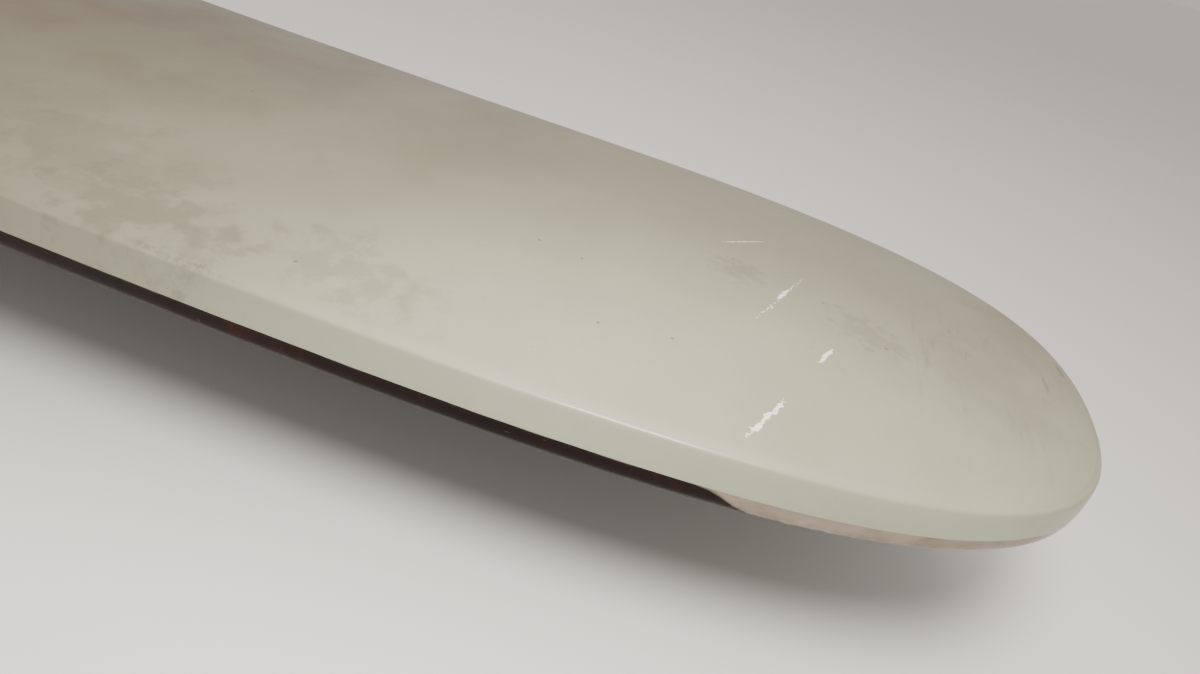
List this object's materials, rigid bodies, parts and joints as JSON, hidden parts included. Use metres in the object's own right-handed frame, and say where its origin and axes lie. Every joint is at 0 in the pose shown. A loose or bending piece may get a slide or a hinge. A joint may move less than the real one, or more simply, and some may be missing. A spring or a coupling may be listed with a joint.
{
  "type": "surfboard",
  "caption": "Round-nosed longboard with a white glassed deck, dark tinted bottom, wooden stringer, sliding centre fin, side fins and leash cup.",
  "frame": {"origin": "on the bottom at the stringer, at mid-length, in the middle of the flat stretch", "axes": "+X towards the nose, +Y towards the left rail, +Z out of the deck"},
  "size_m": [2.74, 0.57, 0.269],
  "materials": {
    "white_glass": "opaque white resin with a worn gloss coat",
    "tinted_glass": "dark maroon tinted resin, gloss",
    "clear_glass": "glass cloth patch, gloss",
    "foam": "sanded polyurethane foam",
    "stringer_wood": "planed basswood",
    "box_plastic": "moulded plastic, sanded flush",
    "fin_glass": "laid-up fibreglass, polished",
    "fin_plastic": "moulded reinforced plastic",
    "cup_plastic": "moulded plastic",
    "steel": "stainless steel"
  },
  "bodies": {
    "board": {"foam_blank_left": "foam", "foam_blank_right": "foam", "stringer": "stringer_wood", "deck_lamination": "white_glass", "bottom_lamination": "tinted_glass", "fin_patch": "clear_glass", "fin_box": "box_plastic", "side_fin_box_left": "box_plastic", "side_fin_box_right": "box_plastic", "side_fin_left": "fin_plastic", "side_fin_right": "fin_plastic", "side_fin_screws": "steel", "leash_cup": "cup_plastic", "leash_bar": "steel"},
    "centre_fin": {"centre_fin": "fin_glass", "fin_cross_pin": "steel", "fin_plate": "steel"},
    "fin_screw": {"fin_screw": "steel"}
  },
  "joints": [
    {"name": "fin_slide", "type": "slide", "parent": "board", "child": "centre_fin", "axis": [0.9976, 0, -0.0685], "range_m": [-0.055, 0.055]},
    {"name": "fin_screw_turn", "type": "hinge", "parent": "centre_fin", "child": "fin_screw", "pos_m": [-1.03815, 0, 0.02375], "axis": [-0.0685, 0, -0.9976], "range_deg": [0, 720]}
  ]
}
